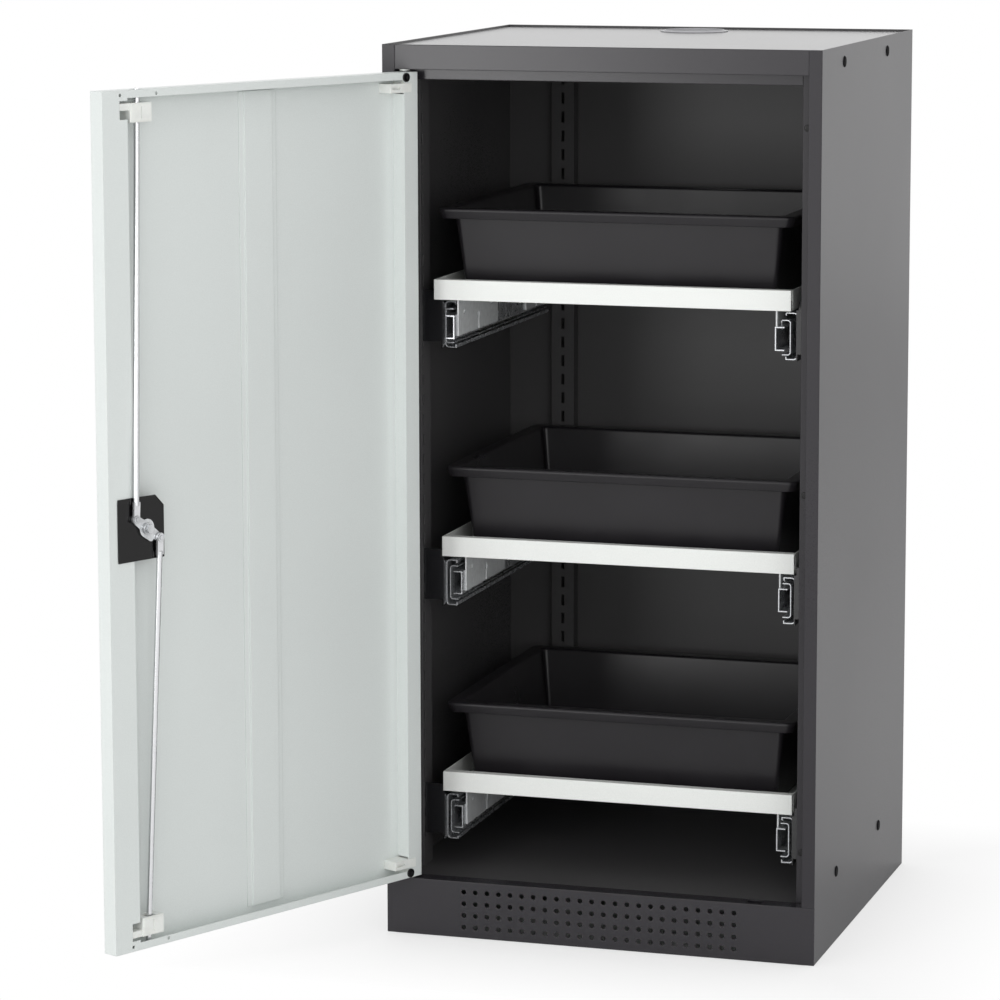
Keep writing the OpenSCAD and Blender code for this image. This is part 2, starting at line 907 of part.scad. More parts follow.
module lock_cylinder() {
    proud = 0.6;
    key_w = 1.8;
    key_h = 9;
    color("#b4b7bb")
        in_door()
            translate([hub_x, 0, lock_z])
                difference() {
                    level(core_d, [lever_y - lever_t - proud, lever_y - core_in]);
                    block([-key_w / 2, key_w / 2], [lever_y - lever_t - over, lever_y - 2 * core_in],
                        [-key_h / 2, key_h / 2]);
                }
}

function cam_pin(side) = [side * cam_r * cos(cam_angle), side * cam_r * sin(cam_angle)];

module at_cam_pins() {
    for (side = [1, -1])
        translate([hub_x + cam_pin(side)[0], 0, lock_z + cam_pin(side)[1]])
            children();
}

// A plate with a heel and two arms, a washer and a nut on the spindle, and two pins for the rods.
module lock_cam() {
    plate = [cam_y, cam_y + cam_t];
    heel = [-6, 0, -12];
    washer = [plate[1], plate[1] + 3];
    nut = [washer[1], washer[1] + 4];
    color("#c3c6ca")
        in_door() {
            translate([hub_x, 0, lock_z]) {
                hull() {
                    level(22, plate);
                    translate(heel)
                        level(8, plate);
                }
                for (side = [1, -1])
                    hull() {
                        level(14, plate);
                        translate([cam_pin(side)[0], 0, cam_pin(side)[1]])
                            level(10, plate);
                    }
                level(13, washer);
                level(11, nut, $fn = 6);
            }
            at_cam_pins()
                level(cam_pin_d, [plate[1], clip_y + 2 * clip_t]);
        }
}

module cam_clips() {
    color("#8e9195")
        in_door()
            at_cam_pins()
                difference() {
                    level(cam_pin_d + 4, [clip_y, clip_y + clip_t]);
                    level(cam_pin_d + 2 * push_gap, [clip_y - over, clip_y + clip_t + over]);
                }
}

// A rod from the cam's pin, through its guide, to a tip just short of the frame.
module rod(side) {
    start = [hub_x + cam_pin(side)[0], rod_y, lock_z + cam_pin(side)[1]];
    guide = [guide_x, guide_y, side > 0 ? guide_top : guide_bottom];
    tip_z = side > 0 ? header_z - rod_gap : plinth_h + rod_gap;
    run = guide - start;
    length = norm(run) * abs((tip_z - start.z) / run.z);
    turn_y = atan2(run.x, run.z);
    turn_x = -side * asin(run.y / norm(run));
    neck = 16;
    overlap = 4;
    eye_w = rod_d + 2;
    color("#c9ccd0")
        in_door() {
            translate([start.x, eye_y + eye_t, start.z])
                rotate([90, 0, 0])
                    linear_extrude(eye_t)
                        difference() {
                            union() {
                                circle(d = eye_d);
                                rotate(-turn_y)
                                    translate([-eye_w / 2, 0])
                                        square([eye_w, neck + overlap]);
                            }
                            circle(d = cam_pin_d + 2 * run_gap);
                        }
            translate(start)
                rotate([turn_x, 0, 0])
                    rotate([0, turn_y, 0])
                        pointed(rod_d, [neck, length]);
        }
}

module upper_rod() {
    rod(1);
}

module lower_rod() {
    rod(-1);
}

/* ---- drawers ---- */

// Extrudes a slide section from one Y to another: u towards the middle, v up.
module along(y, z) {
    pair()
        translate([rail_x, y[1], z])
            rotate([90, 0, 0])
                linear_extrude(y[1] - y[0])
                    mirror([1, 0, 0])
                        children();
}

// Moves a piece of drawer n by its share of the distance that the drawer stands out at rest.
module out(n, share) {
    translate([0, -drawer_rest[n] * share, 0])
        children();
}

// A channel: a web that stands at u, two round folds, and two legs that reach away from it.
module rail_section(u, half, t, reach) {
    r = 3 * t;
    translate([u, r - half])
        square([t, 2 * (half - r)]);
    for (s = [-1, 1]) {
        intersection() {
            translate([u + r, s * (half - r)])
                difference() {
                    circle(r = r);
                    circle(r = r - t);
                }
            translate([u, s > 0 ? half - r : -half])
                square([r, r]);
        }
        translate([u + r, s > 0 ? half - t : -half])
            square([reach - r, t]);
    }
}

// A strip along the slide, a front plate with two hooks, and a rear plate with one hook and a hole.
module carriers(n) {
    z = strip_top[n];
    hook_z = [for (k = [0, 1]) z - strip_rise - k * slot_pitch];
    middle = z - rail_drop;
    low_plate = [z - 81, z - strip_h - shelf_gap];
    high_plate = [z - strip_h - shelf_gap - over, z - 17];
    rear_plate = [z - 69, z - 44];
    rear_reach = 41;
    hole_x = rear_post_x - 24;
    hole_w = 5;
    hole_in = 5;
    color("#2c2c2e")
        pair()
            difference() {
                union() {
                    block([rail_x, carrier_x], [carrier_front, post_face_y],
                        [middle - rail_half, middle + rail_half]);
                    block([rail_x, post_face_x], [carrier_front, carrier_front + carrier_t], low_plate);
                    block([strip_w / 2 + shelf_gap, post_face_x], [carrier_front, carrier_front + carrier_t],
                        high_plate);
                    for (at = hook_z)
                        block([post_face_x, post_face_x + hook_l], [carrier_front, carrier_front + carrier_t],
                            [at - hook_h / 2, at + hook_h / 2]);
                    block([rear_post_x - rear_reach, carrier_x], [post_face_y - carrier_t, post_face_y],
                        rear_plate);
                    block([rear_post_x - carrier_t / 2, rear_post_x + carrier_t / 2],
                        [post_face_y, post_face_y + hook_l], [hook_z[1] - hook_h / 2, hook_z[1] + hook_h / 2]);
                }
                block([hole_x, hole_x + hole_w], [post_face_y - 2 * carrier_t, post_face_y + over],
                    [rear_plate[0] + hole_in, rear_plate[1] - hole_in]);
            }
}

module outer_rails(n) {
    lip = rail_t + 1;
    color("#b7babd")
        along([rail_front, rail_back], strip_top[n] - rail_drop) {
            rail_section(0, rail_half, rail_t, outer_reach);
            for (v = [-rail_half + rail_t, rail_half - rail_t - lip])
                translate([outer_reach - rail_t, v])
                    square([rail_t, lip]);
        }
}

module middle_rails(n) {
    color("#c0c3c6")
        out(n, 0.5)
            along([rail_front, rail_back], strip_top[n] - rail_drop)
                rail_section(mid_u, mid_half, inner_t, middle_reach);
}

module inner_rails(n) {
    z = strip_top[n] - rail_drop;
    color("#c9ccd0")
        out(n, 1)
            difference() {
                along([rail_front, rail_back], z) {
                    translate([plate_u - inner_t, -inner_half])
                        square([inner_t, 2 * inner_half]);
                    for (v = [-inner_half, inner_half - inner_t])
                        translate([inner_u, v])
                            square([plate_u - inner_u, inner_t]);
                }
                pair()
                    for (k = [0 : ball_count - 1], row = [0, 1])
                        translate([rail_x - plate_u, rail_front + hole_start + (k + row / 2) * ball_pitch,
                            z - hole_drop - row * hole_row])
                            rotate([0, 90, 0])
                                cylinder(d = rail_hole, h = 4 * inner_t, center = true, $fn = facets_small);
            }
}

// A strip that keeps the balls of one slide apart: a web with a fold along each ball row.
module cages(n, share, u, ball_u, ball_v) {
    z = strip_top[n] - rail_drop;
    middle = (rail_front + rail_back) / 2;
    half_l = (ball_count - 1) * ball_pitch / 2 + cage_end;
    out(n, share) {
        color("#d8c68a")
            difference() {
                along([middle - half_l, middle + half_l], z) {
                    translate([u, -ball_v - cage_t / 2])
                        square([cage_t, 2 * ball_v + cage_t]);
                    for (s = [-1, 1])
                        translate([u, s * ball_v - cage_t / 2])
                            square([ball_u - u + cage_lip, cage_t]);
                }
                pair()
                    at_balls(middle, z, ball_u, ball_v)
                        cylinder(d = ball_d + 2 * run_gap, h = 4 * cage_t, center = true, $fn = facets_small);
            }
        color("#e6e8ea")
            pair()
                at_balls(middle, z, ball_u, ball_v)
                    sphere(d = ball_d, $fn = facets_small);
    }
}

module at_balls(middle, z, ball_u, ball_v) {
    first = middle - (ball_count - 1) * ball_pitch / 2;
    for (k = [0 : ball_count - 1], s = [-1, 1])
        translate([rail_x - ball_u, first + k * ball_pitch, z + s * ball_v])
            children();
}

module outer_cages(n) {
    cages(n, 0.25, outer_cage_u, outer_ball_u, mid_half + ball_room / 2);
}

module inner_cages(n) {
    cages(n, 0.75, inner_cage_u, inner_ball_u, inner_half + ball_room / 2);
}

// Angle brackets between the inner rails and the shelf, with a keyhole and two screw holes each.
module slide_brackets(n) {
    z = strip_top[n];
    face = rail_x - plate_u - bracket_t;
    under = z - strip_h;
    key_d = 10;
    key_z = z - 55;
    screw_z = z - 44;
    color("#d3d6d8")
        out(n, 1)
            pair()
                for (piece = [[rail_front + bracket_in, bracket_l],
                        [rail_back - bracket_in - rear_bracket_l, rear_bracket_l]])
                    difference() {
                        union() {
                            block([face, face + bracket_t], [piece[0], piece[0] + piece[1]],
                                [z - bracket_drop, under]);
                            block([face - bracket_flange, face], [piece[0], piece[0] + piece[1]],
                                [under - bracket_t, under]);
                        }
                        translate([face, piece[0] + piece[1] / 2, key_z]) {
                            rotate([0, 90, 0])
                                cylinder(d = key_d, h = 4 * bracket_t, center = true);
                            block([-2 * bracket_t, 2 * bracket_t], [-0.3 * key_d, 0.3 * key_d],
                                [z - bracket_drop - key_z - over, 0]);
                        }
                        for (at = [0.14, 0.82])
                            translate([face, piece[0] + piece[1] * at, screw_z])
                                rotate([0, 90, 0])
                                    cylinder(d = 0.6 * key_d, h = 4 * bracket_t, center = true,
                                        $fn = facets_small);
                    }
}

module shelf(n) {
    z = strip_top[n];
    half = strip_w / 2;
    c = shelf_t / 2;
    color("#f4f5f2")
        out(n, 1)
            translate([0, 0, z]) {
                crosswise([-half, half])
                    folded([[shelf_front + strip_d - c, -strip_h / 2], [shelf_front + strip_d - c, -c],
                        [shelf_front + c, -c], [shelf_front + c, c - strip_h],
                        [shelf_back - c, c - strip_h], [shelf_back - c, -c]], shelf_t);
                pair()
                    block([half - shelf_t, half], [shelf_front + strip_d - shelf_t, shelf_back], [-strip_h, 0]);
            }
}

// A rounded rectangle that spans the given ranges.
module rounded(x, y, r) {
    hull()
        for (px = [x[0] + r, x[1] - r], py = [y[0] + r, y[1] - r])
            translate([px, py])
                circle(r = r, $fn = 32);
}

// A tapered form with rounded corners: its top outline lies grow outside the tray's wall, and its
// lower outline is drawn in by lean.
module tapered(grow, lean, r, z) {
    skin = 0.1;
    half = strip_w / 2 - rim_w + grow;
    front = shelf_front + tray_back + rim_w - grow;
    back = shelf_back - tray_rear - rim_w + grow;
    hull()
        for (slice = [[z[1] - skin, 0], [z[0], lean]])
            translate([0, 0, slice[0]])
                linear_extrude(skin)
                    rounded([slice[1] - half, half - slice[1]], [front + slice[1], back - slice[1]], r);
}

module tray(n) {
    rim = [tray_rise - rim_h, tray_rise];
    color("#302e30")
        out(n, 1)
            translate([0, 0, strip_top[n]])
                difference() {
                    union() {
                        tapered(0, tray_taper, tray_r, [shelf_floor, tray_rise]);
                        difference() {
                            tapered(rim_w, rim_lean, rim_r, rim);
                            tapered(rim_w - tray_wall, rim_lean, rim_r - tray_wall,
                                [rim[0] - over, rim[1] - tray_wall]);
                        }
                    }
                    tapered(-tray_wall, tray_taper, tray_r - tray_wall,
                        [shelf_floor + tray_wall, tray_rise + over / 5]);
                }
}

mirror([1, 0, 0]) side_panel();  // side_panel_left
side_panel();  // side_panel_right
header();
plinth();
floor_panel();
back_panel();
top_panel();
exhaust_collar();
front_uprights();
rear_uprights();
side_plugs();
hinge_bushes();
door_buffers();
levelling_feet();
foot_brackets();
base_frame();
door_pan();
door_stiffener();
hinge_blocks();
hinge_pins();
door_grommets();
rod_guide_top();
rod_guide_bottom();
lock_case();
lock_escutcheon();
lock_lever();
lock_cylinder();
lock_cam();
cam_clips();
upper_rod();
lower_rod();
for (n = [0 : drawer_count - 1]) {
    carriers(n);
    outer_rails(n);
    middle_rails(n);
    inner_rails(n);
    outer_cages(n);
    inner_cages(n);
    slide_brackets(n);
    shelf(n);
    tray(n);
}
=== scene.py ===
# %% [markdown]
# # A reagent drawer cabinet, dressed for its picture
# The cabinet comes from the CAD frame: every sheet, rail and rod is already at its real size and
# place. This lesson gives those pieces their finish. It rounds the folded edges, paints, plates and
# moulds each surface with shader nodes, and lights the result like a catalogue picture. Lengths in
# this file are in metres, with MM to write small ones the way a workshop drawing does.

# %% The frame and the units
import math

import bmesh
import bpy
from mathutils import Matrix, Vector


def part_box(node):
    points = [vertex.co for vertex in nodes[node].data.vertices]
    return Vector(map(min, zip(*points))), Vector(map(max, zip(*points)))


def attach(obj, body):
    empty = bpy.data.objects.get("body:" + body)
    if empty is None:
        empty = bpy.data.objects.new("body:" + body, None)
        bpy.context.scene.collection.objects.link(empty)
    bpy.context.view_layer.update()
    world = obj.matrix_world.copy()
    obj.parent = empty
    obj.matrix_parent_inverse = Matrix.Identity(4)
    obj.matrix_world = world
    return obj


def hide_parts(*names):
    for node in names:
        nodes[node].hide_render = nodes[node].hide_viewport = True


MM = 0.001
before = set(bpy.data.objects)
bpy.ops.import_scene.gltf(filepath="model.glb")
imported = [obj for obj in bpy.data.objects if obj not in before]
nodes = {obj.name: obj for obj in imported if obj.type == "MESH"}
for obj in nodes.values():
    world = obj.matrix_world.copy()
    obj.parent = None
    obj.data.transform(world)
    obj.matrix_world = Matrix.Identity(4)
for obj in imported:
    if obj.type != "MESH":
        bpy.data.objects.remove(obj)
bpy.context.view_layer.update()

# %% [markdown]
# ## The camera
# The picture was taken with a long lens, from the right of the cabinet and a little above it. The
# lens, place and turn were worked out from the cabinet's own corners for this shift. The picture
# asks for a larger one, but a large shift would push the cabinet out of frame in other views.

# %% Camera
PICTURE = 1000
FOCAL_PIXELS = 4079
LOOK_DOWN = 8.65
LOOK_LEFT = 17.353
LEAN = 0.127
SHIFT_DOWN = 0.05
CAMERA_PLACE = Vector((1.3394, -4.9432, 1.3613))

camera = bpy.data.objects.new("camera", bpy.data.cameras.new("camera"))
bpy.context.scene.collection.objects.link(camera)
camera.location = CAMERA_PLACE
turn = Matrix.Rotation(math.radians(LOOK_LEFT), 4, "Z")
tilt = Matrix.Rotation(math.radians(90 - LOOK_DOWN), 4, "X")
lean = Matrix.Rotation(math.radians(-LEAN), 4, "Z")
camera.rotation_euler = (turn @ tilt @ lean).to_euler()
camera.data.sensor_width = 36
camera.data.lens = camera.data.sensor_width * FOCAL_PIXELS / PICTURE
camera.data.shift_y = -SHIFT_DOWN
camera.data.clip_end = 50
bpy.context.scene.camera = camera
print("lens", round(camera.data.lens, 1), "mm")

# %% [markdown]
# ## Shader maths as plain expressions
# A material is a small program. Written node by node it is hard to read, so one class wraps a
# socket and lets ordinary arithmetic add the Math nodes. The reflected forms make `1 - mask` work.

# %% A socket that does arithmetic
class Signal:
    """A number, colour or vector that comes out of a node."""

    def __init__(self, tree, socket):
        self.tree = tree
        self.socket = socket

    def math(self, operation, other=None, reverse=False):
        node = self.tree.nodes.new("ShaderNodeMath")
        node.operation = operation
        terms = [self] if other is None else [self, other]
        for slot, term in zip(node.inputs, reversed(terms) if reverse else terms):
            connect(self.tree, term, slot)
        return Signal(self.tree, node.outputs[0])

    def __add__(self, other):
        return self.math("ADD", other)

    def __sub__(self, other):
        return self.math("SUBTRACT", other)

    def __rsub__(self, other):
        return self.math("SUBTRACT", other, reverse=True)

    def __mul__(self, other):
        return self.math("MULTIPLY", other)

    __radd__ = __add__
    __rmul__ = __mul__


def connect(tree, term, slot):
    """Links a signal to a socket, or writes a plain value on it."""
    if isinstance(term, Signal):
        tree.links.new(term.socket, slot)
    else:
        slot.default_value = term


# %% [markdown]
# ## One recipe book for every finish
# Each finish below is a Principled shader. The class makes the material, adds any other node from
# its type, settings and sockets, and mixes colours with a Mix node, because a Math node would turn
# them grey.

# %% The finish class
def rgb(red, green, blue):
    """A screen colour from 0 to 255 as the linear colour that a shader wants."""
    channels = [c / 255 for c in (red, green, blue)]
    linear = [c / 12.92 if c <= 0.04045 else ((c + 0.055) / 1.055) ** 2.4 for c in channels]
    return (*linear, 1)


def shade(colour, factor, lift=0.0):
    """The same colour, darker or lighter by a factor, and lifted by a little light."""
    return (*(min(1, c * factor + lift) for c in colour[:3]), 1)


class Finish:
    """A material with a Principled shader, and short ways to add nodes to it."""

    def __init__(self, name, **sockets):
        self.material = bpy.data.materials.new(name)
        self.material.use_nodes = True
        self.tree = self.material.node_tree
        self.shader = self.tree.nodes["Principled BSDF"]
        self.set(**sockets)

    def set(self, **sockets):
        for name, term in sockets.items():
            connect(self.tree, term, self.shader.inputs[name.replace("_", " ")])
        return self

    def add(self, kind, settings=None, out=0, **sockets):
        node = self.tree.nodes.new("ShaderNode" + kind)
        for name, value in (settings or {}).items():
            if name == "stops":
                set_stops(node.color_ramp, value)
            else:
                setattr(node, name, value)
        for name, term in sockets.items():
            connect(self.tree, term, node.inputs[name.replace("_", " ")])
        return Signal(self.tree, node.outputs[out])

    def place(self, stretch=(1, 1, 1)):
        """Points of the object in metres, stretched by a factor along each axis."""
        point = self.add("TexCoord", out="Object")
        return self.add("Mapping", Vector=point, Scale=stretch)

    def noise(self, size, detail=2.0, stretch=(1, 1, 1), rough=0.5):
        """Soft random values whose lumps are about as wide as size."""
        return self.add("TexNoise", Vector=self.place(stretch), Scale=1 / size, Detail=detail,
                        Roughness=rough)

    def ramp(self, signal, low, high, start=0.0, end=1.0):
        """The signal from low to high, rescaled to run from start to end."""
        return self.add("MapRange", {"interpolation_type": "SMOOTHSTEP"}, Value=signal,
                        From_Min=low, From_Max=high, To_Min=start, To_Max=end)

    def mix(self, share, first, second):
        """A colour between two others."""
        node = self.tree.nodes.new("ShaderNodeMix")
        node.data_type = "RGBA"
        for slot, term in zip((0, 6, 7), (share, first, second)):
            connect(self.tree, term, node.inputs[slot])
        return Signal(self.tree, node.outputs[2])

    def bump(self, height, depth, strength=1.0, edge=None):
        """Raises the surface by a height signal that is depth metres tall, and rolls the light
        round edges by the radius edge."""
        sockets = {"Height": height, "Distance": depth, "Strength": strength}
        if edge:
            sockets["Normal"] = self.add("Bevel", {"samples": 4}, Radius=edge)
        return self.set(Normal=self.add("Bump", **sockets))

    def blend(self, share, other):
        """Lets another shader show through the Principled one, by a share."""
        mixer = self.tree.nodes.new("ShaderNodeMixShader")
        own = Signal(self.tree, self.shader.outputs[0])
        for slot, term in zip(mixer.inputs, (share, own, other)):
            connect(self.tree, term, slot)
        self.tree.links.new(mixer.outputs[0], self.tree.nodes["Material Output"].inputs["Surface"])


def set_stops(ramp, stops):
    while len(ramp.elements) < len(stops):
        ramp.elements.new(0.5)
    for element, (position, colour) in zip(ramp.elements, stops):
        element.position = position
        element.color = colour


# %% [markdown]
# ## Powder coat
# The sheet steel of such a cabinet is powder coated. The powder melts into a skin with a very fine
# orange peel, which blurs reflections without hiding them. A slow drift in gloss keeps a large flat
# panel from looking like a computer's rectangle. A Bevel node rolls the light round each fold, as
# the bend radius of real sheet does. The real cabinet most likely has one dark paint all over. The
# paler paint inside the carcass and on the inner panels, and the lighter paint of the top panel,
# are
# painted light: lighter copies of that paint, fitted to the picture to make up for its light. The
# more matt side panels are fitted to the picture too.

# %% Powder coat
SKIN_DEPTH = 0.8 * MM    # deeper than this from the outer face counts as inside
FRONT_DEPTH = 24 * MM    # further back than this from the front edge counts as inside


def inside_light_mask(finish):
    """One on the faces inside the carcass and behind the door, where painted light goes; none
    outside.
    """
    low, high = (Vector(corner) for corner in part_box("side_panel_right"))
    place = finish.add("TexCoord", out="Object")
    sideways, forwards = (finish.add("SeparateXYZ", out=axis, Vector=place) for axis in "XY")
    between = sideways.math("ABSOLUTE").math("LESS_THAN", high.x - SKIN_DEPTH)
    return between * forwards.math("GREATER_THAN", low.y + FRONT_DEPTH)


def powder_coat(name, colour, gloss, peel=0.9, depth=0.02, drift=0.03, coat=0.0, skin=0.15,
                ior=1.45, edge=1.5, inside=None):
    finish = Finish(name, IOR=ior, Coat_Weight=coat, Coat_Roughness=skin)
    broad = finish.noise(350 * MM, detail=2)
    grain = finish.noise(1.1 * MM, detail=2)
    lighter = shade(colour, 1.05, 0.001)
    darker = shade(colour, 0.95)
    mottle = grain * 0.6 + broad * 0.4
    paint = finish.mix(finish.ramp(mottle, 0.2, 0.8), darker, lighter)
    # painted light: the faces inside the carcass get the paler inside colour in place of the paint
    if inside:
        paint = finish.mix(inside_light_mask(finish), paint, inside)
    finish.set(Base_Color=paint,
               Roughness=gloss + finish.ramp(mottle, 0.2, 0.8, -drift, drift))
    finish.bump(finish.noise(peel * MM, detail=1), depth * MM, 0.6, edge * MM)
    return finish.material


# painted light: inside=rgb(76, 75, 76) is a paler copy of the dark paint for the faces inside
carcass_paint = powder_coat("carcass_paint", rgb(44, 42, 46), 0.24, inside=rgb(76, 75, 76))
side_paint = powder_coat("side_paint", rgb(44, 42, 46), 0.29, ior=1.38, inside=rgb(76, 75, 76))
# painted light: the top panel gets a lighter copy of the dark paint, to brighten the top
lid_lit_paint = powder_coat("lid_lit_paint", rgb(54, 52, 56), 0.24, coat=0.35, skin=0.12)
# painted light: the inner panels get a paler copy of the same dark paint
inner_paint = powder_coat("inner_paint", rgb(75, 74, 75), 0.42)
door_paint = powder_coat("door_paint", rgb(220, 225, 223), 0.38, edge=1.0)
shelf_paint = powder_coat("shelf_paint", rgb(236, 238, 235), 0.35, drift=0.01, edge=0.8)
carrier_paint = powder_coat("carrier_paint", rgb(34, 34, 36), 0.22, coat=0.5, edge=0.6)
print("powder coats ready")

# %% [markdown]
# ## Moulded plastics
# The trays look like dark polypropylene with a fine grain that takes the shine off. The lock case
# and grommets are smoother. The plugs are matt, with a refractive index below that of real plastic,
# so that they stay dark when seen along the panel. The guides and pivot blocks look like white
# nylon, which lets a little light in, so it gets a short subsurface radius.

# %% Plastics
def moulded(name, colour, gloss, grain=0.5, depth=0.03, ior=1.4, edge=1.0):
    finish = Finish(name, IOR=ior)
    pores = finish.noise(grain * MM, detail=3)
    cloud = finish.noise(80 * MM, detail=4)
    pale = shade(colour, 1.15, 0.001)
    finish.set(Base_Color=finish.mix(finish.ramp(cloud, 0.2, 0.8), colour, pale),
               Roughness=gloss + finish.ramp(cloud, 0.1, 0.9, -0.04, 0.06))
    finish.bump(pores, depth * MM, 0.7, edge * MM)
    return finish.material


def nylon(name, colour):
    finish = Finish(name, Roughness=0.42, IOR=1.5)
    cloud = finish.noise(12 * MM, detail=2)
    warm = shade(colour, 0.93)
    finish.set(Base_Color=finish.mix(finish.ramp(cloud, 0.4, 0.7), colour, warm))
    finish.set(Subsurface_Weight=0.12, Subsurface_Radius=(0.9 * MM, 0.8 * MM, 0.7 * MM))
    finish.bump(finish.noise(0.9 * MM, detail=2), 0.01 * MM)
    return finish.material


tray_plastic = moulded("tray_plastic", rgb(31, 29, 32), 0.3, depth=0.01, edge=1.5)
black_plastic = moulded("black_plastic", rgb(12, 11, 12), 0.18, grain=0.35, depth=0.008, edge=2.5)
plug_plastic = moulded("plug_plastic", rgb(20, 20, 21), 0.85, ior=1.2)
grey_plastic = moulded("grey_plastic", rgb(186, 186, 189), 0.4, grain=0.4, depth=0.01)
white_nylon = nylon("white_nylon", rgb(236, 238, 234))

# %% [markdown]
# ## Bare and plated metal
# Zinc plate is bright but never a mirror: it clouds in patches and carries fine drawing lines. An
# Ambient Occlusion node paints shade into the base colour in the crevices beside washers, pins and
# folds, only so that the small parts stand apart. Galvanised sheet shows crystals a few millimetres
# wide, from a Voronoi texture.

# %% Metals
def plated(name, colour, gloss, stretch=(1, 1, 1), lines=0.4, depth=0.006, metal=0.85,
           clouding=0.85, crevice_shade=0.35):
    finish = Finish(name, Metallic=metal)
    cloud = finish.noise(15 * MM, detail=4)
    scratches = finish.noise(lines * MM, detail=2, stretch=stretch)
    dull = shade(colour, clouding)
    # painted shade: a darker copy of the plate, which the Ambient Occlusion mask below lays into
    # crevices and hollows
    grey = shade(colour, crevice_shade)
    open_face = finish.ramp(finish.add("AmbientOcclusion", {"samples": 4}, out="AO",
                                       Distance=4 * MM), 0.25, 0.85)
    plate = finish.mix(finish.ramp(cloud, 0.35, 0.7), colour, dull)
    finish.set(Base_Color=finish.mix(open_face, grey, plate),
               Roughness=gloss + finish.ramp(cloud + scratches * 0.5, 0.5, 1.0, -0.05, 0.08))
    finish.bump(scratches, depth * MM)
    return finish.material


def galvanised(name, colour, metal=0.35):
    finish = Finish(name, Metallic=metal)
    crystal = finish.add("TexVoronoi", {"feature": "F1"}, out="Color", Vector=finish.place(),
                         Scale=1 / (5 * MM))
    facet = finish.add("SeparateColor", Color=crystal)
    dull = shade(colour, 0.8)
    finish.set(Base_Color=finish.mix(facet * 0.6 + 0.2, dull, colour),
               Roughness=0.36 + facet * 0.14)
    finish.bump(facet, 0.01 * MM, 0.5)
    return finish.material


# every plated finish carries painted shade in its crevices; zinc's is the darkest
zinc = plated("zinc", rgb(222, 224, 226), 0.22, metal=1.0, clouding=0.7, crevice_shade=0.15)
rod_zinc = plated("rod_zinc", rgb(232, 233, 235), 0.2, stretch=(1, 1, 0.04), depth=0.0005,
                  clouding=0.96)
rail_zinc = plated("rail_zinc", rgb(205, 207, 210), 0.26, stretch=(1, 0.05, 1), metal=0.75)
cage_brass = plated("cage_brass", rgb(150, 148, 140), 0.35)
galvanised_sheet = galvanised("galvanised_sheet", rgb(228, 230, 231), metal=0.2)

# %% [markdown]
# ## Which piece has which finish
# A CAD node arrives with one plain material. The table below names the finish of each kind of
# piece; the drawers repeat, so their numbers are cut off the name before it is looked up.

# %% Finish table
FINISHES = {
    carcass_paint: ["header", "plinth", "base_frame"],
    side_paint: ["side_panel_left", "side_panel_right"],
    lid_lit_paint: ["top_panel"],
    inner_paint: ["back_panel", "floor_panel", "front_uprights", "rear_uprights",
                  "foot_brackets"],
    carrier_paint: ["carriers"],
    black_plastic: ["door_buffers", "levelling_feet", "door_grommets", "lock_case",
                    "lock_escutcheon", "lock_lever"],
    plug_plastic: ["side_plugs"],
    grey_plastic: ["exhaust_collar"],
    door_paint: ["door_pan", "door_stiffener"],
    white_nylon: ["hinge_bushes", "hinge_blocks", "rod_guide_top", "rod_guide_bottom"],
    zinc: ["hinge_pins", "lock_cylinder", "lock_cam", "cam_clips"],
    rod_zinc: ["upper_rod", "lower_rod"],
    rail_zinc: ["outer_rails", "middle_rails", "inner_rails"],
    cage_brass: ["outer_cages", "inner_cages"],
    galvanised_sheet: ["slide_brackets"],
    shelf_paint: ["shelf"],
    tray_plastic: ["tray"],
}
finish_of = {kind: finish for finish, kinds in FINISHES.items() for kind in kinds}


def kind_of(name):
    """The kind of a node: its name without the number of its drawer."""
    return name.rstrip("0123456789").rstrip("_") if name[-1].isdigit() else name


for name, node in nodes.items():
    node.data.materials.clear()
    node.data.materials.append(finish_of[kind_of(name)])
print("painted", len(nodes), "nodes")

# %% [markdown]
# ## The moulded trays
# A tray is one skin of plastic. Its wall leans out, and at the top it turns into a wide lip with a
# skirt that hangs down all round. The CAD solid has that size but straight joins. Here the same
# form is lofted: rounded rectangles are stacked from the underside, up the wall, over the lip and
# down to the inner floor, and each is joined to the next with quads, so every turn can be a roll.

# %% Rings and rolls
def rounded_ring(low, high, inset, height, corner, steps=6):
    """Points round a rectangle with round corners, anticlockwise from above."""
    ring = []
    ends = [(high.x - inset - corner, high.y - inset - corner),
            (low.x + inset + corner, high.y - inset - corner),
            (low.x + inset + corner, low.y + inset + corner),
            (high.x - inset - corner, low.y + inset + corner)]
    for quarter, (x, y) in enumerate(ends):
        for step in range(steps + 1):
            angle = math.radians(90 * (quarter + step / steps))
            ring.append((x + corner * math.cos(angle), y + corner * math.sin(angle), height))
    return ring


def roll(inset, height, radius, start, end, steps=4):
    """Profile points round a fold; 0 degrees points away from the tray and 90 up."""
    angles = [math.radians(start + (end - start) * step / steps) for step in range(steps + 1)]
    return [(inset - radius * math.cos(a), height + radius * math.sin(a)) for a in angles]


def loft(name, rings):
    """One closed skin through a stack of rings."""
    skin = bmesh.new()
    loops = [[skin.verts.new(point) for point in ring] for ring in rings]
    for lower, upper in zip(loops, loops[1:]):
        for i in range(len(lower)):
            j = (i + 1) % len(lower)
            skin.faces.new((lower[i], lower[j], upper[j], upper[i]))
    skin.faces.new(loops[0][::-1])
    skin.faces.new(loops[-1])
    for face in skin.faces:
        face.smooth = True
    mesh = bpy.data.meshes.new(name)
    skin.to_mesh(mesh)
    skin.free()
    piece = bpy.data.objects.new(name, mesh)
    bpy.context.scene.collection.objects.link(piece)
    return piece


# %% [markdown]
# The profile of the tray is written once, in millimetres from the outside of the lip and up from
# the underside. The wall loses 13.5 mm a side on the way down, the lip is 16.5 mm wide and 13 mm
# deep, and the skin is 3 mm thick.

# %% Lofted trays
LIP, LIP_DROP, TAPER, SKIN, SKIRT_LEAN = 16.5, 13, 13.5, 3, 3.5


